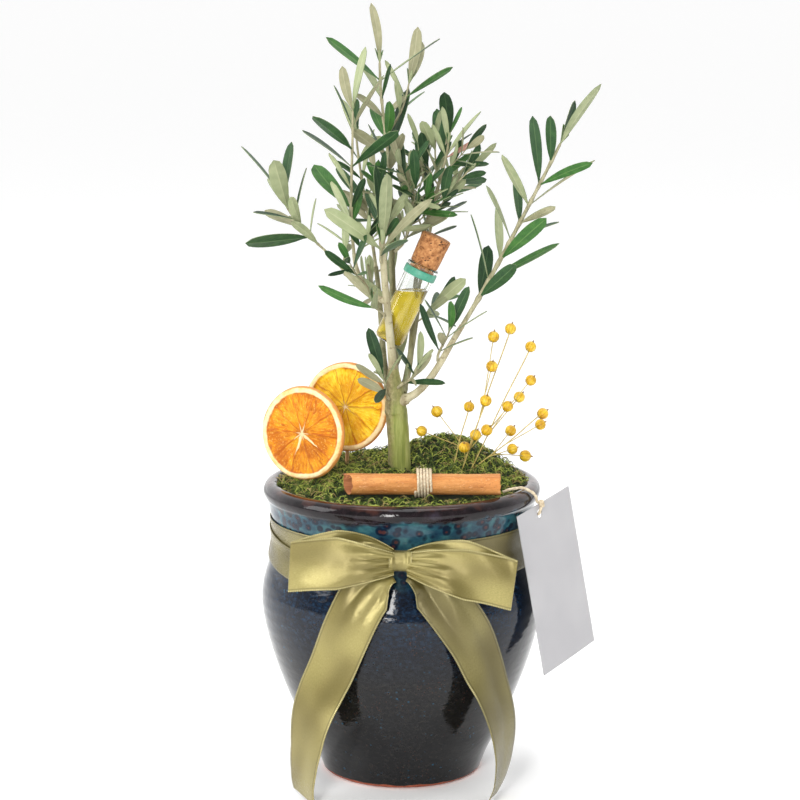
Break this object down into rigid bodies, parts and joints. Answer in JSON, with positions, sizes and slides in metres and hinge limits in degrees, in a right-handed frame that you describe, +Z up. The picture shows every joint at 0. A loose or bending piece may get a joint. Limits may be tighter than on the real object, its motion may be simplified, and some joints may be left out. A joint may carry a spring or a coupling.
{
  "type": "potted olive tree",
  "caption": "Small olive tree in a round glazed pot of moss, dressed as a gift with a ribbon bow, a blank tag, orange slices, cinnamon, flax and a corked oil bottle.",
  "frame": {"origin": "middle of the pot's flat underside", "axes": "+Z up along the pot's axis; the bow and the front of the plant face -Y, the paper tag hangs on the +X side"},
  "size_m": [0.1793, 0.1517, 0.391],
  "materials": {
    "pot": null,
    "soil": "crumbly, matt",
    "moss_bed": "matted moss strands",
    "bottle_glass": "clear",
    "bottle_oil": "clear golden liquid",
    "bottle_cork": "matt cork",
    "bottle_band": "satin",
    "orange_slice_front": "dried fruit, matt",
    "orange_slice_back": "dried fruit, matt",
    "orange_pick_front": "bare",
    "orange_pick_back": "bare",
    "cinnamon_stick": "dry bark, matt",
    "cinnamon_twine": "twisted fibre",
    "flax_sprig_1": "dry, matt",
    "flax_sprig_2": "dry, matt",
    "flax_sprig_3": "dry, matt",
    "flax_sprig_4": "dry, matt",
    "flax_sprig_5": "dry, matt",
    "ribbon_band": "satin",
    "bow_knot": "satin",
    "bow_loop_left": "satin",
    "bow_loop_right": "satin",
    "bow_tail_left": "satin",
    "bow_tail_right": "satin",
    "tag": "uncoated card",
    "tag_twine": "twisted fibre",
    "trunk": "living bark",
    "bough_front": "young bark",
    "bough_leader": "young bark",
    "bough_upper_right": "young bark",
    "bough_right": "young bark",
    "bough_left": "young bark",
    "bough_far_left": "young bark",
    "bough_back_left": "young bark",
    "bough_back_right": "young bark",
    "leaves_top": "leathery leaves on thin twigs",
    "leaves_left": "leathery leaves on thin twigs",
    "leaves_far_left": "leathery leaves on thin twigs",
    "leaves_upper_right": "leathery leaves on thin twigs",
    "leaves_centre": "leathery leaves on thin twigs",
    "leaves_right": "leathery leaves on thin twigs",
    "leaves_right_low": "leathery leaves on thin twigs",
    "leaves_low_right": "leathery leaves on thin twigs",
    "leaves_low_left": "leathery leaves on thin twigs",
    "leaves_front_mid": "leathery leaves on thin twigs",
    "leaves_front_high": "leathery leaves on thin twigs",
    "leaves_back_left": "leathery leaves on thin twigs",
    "leaves_back_right": "leathery leaves on thin twigs",
    "leaves_back": "leathery leaves on thin twigs"
  },
  "bodies": {
    "root": {"pot": "pot", "soil": "soil", "moss_bed": "moss_bed", "bottle_glass": "bottle_glass", "bottle_oil": "bottle_oil", "bottle_cork": "bottle_cork", "bottle_band": "bottle_band", "orange_slice_front": "orange_slice_front", "orange_slice_back": "orange_slice_back", "orange_pick_front": "orange_pick_front", "orange_pick_back": "orange_pick_back", "cinnamon_stick": "cinnamon_stick", "cinnamon_twine": "cinnamon_twine", "flax_sprig_1": "flax_sprig_1", "flax_sprig_2": "flax_sprig_2", "flax_sprig_3": "flax_sprig_3", "flax_sprig_4": "flax_sprig_4", "flax_sprig_5": "flax_sprig_5", "ribbon_band": "ribbon_band", "bow_knot": "bow_knot", "bow_loop_left": "bow_loop_left", "bow_loop_right": "bow_loop_right", "bow_tail_left": "bow_tail_left", "bow_tail_right": "bow_tail_right", "tag": "tag", "tag_twine": "tag_twine", "trunk": "trunk", "bough_front": "bough_front", "bough_leader": "bough_leader", "bough_upper_right": "bough_upper_right", "bough_right": "bough_right", "bough_left": "bough_left", "bough_far_left": "bough_far_left", "bough_back_left": "bough_back_left", "bough_back_right": "bough_back_right", "leaves_top": "leaves_top", "leaves_left": "leaves_left", "leaves_far_left": "leaves_far_left", "leaves_upper_right": "leaves_upper_right", "leaves_centre": "leaves_centre", "leaves_right": "leaves_right", "leaves_right_low": "leaves_right_low", "leaves_low_right": "leaves_low_right", "leaves_low_left": "leaves_low_left", "leaves_front_mid": "leaves_front_mid", "leaves_front_high": "leaves_front_high", "leaves_back_left": "leaves_back_left", "leaves_back_right": "leaves_back_right", "leaves_back": "leaves_back"}
  },
  "joints": []
}
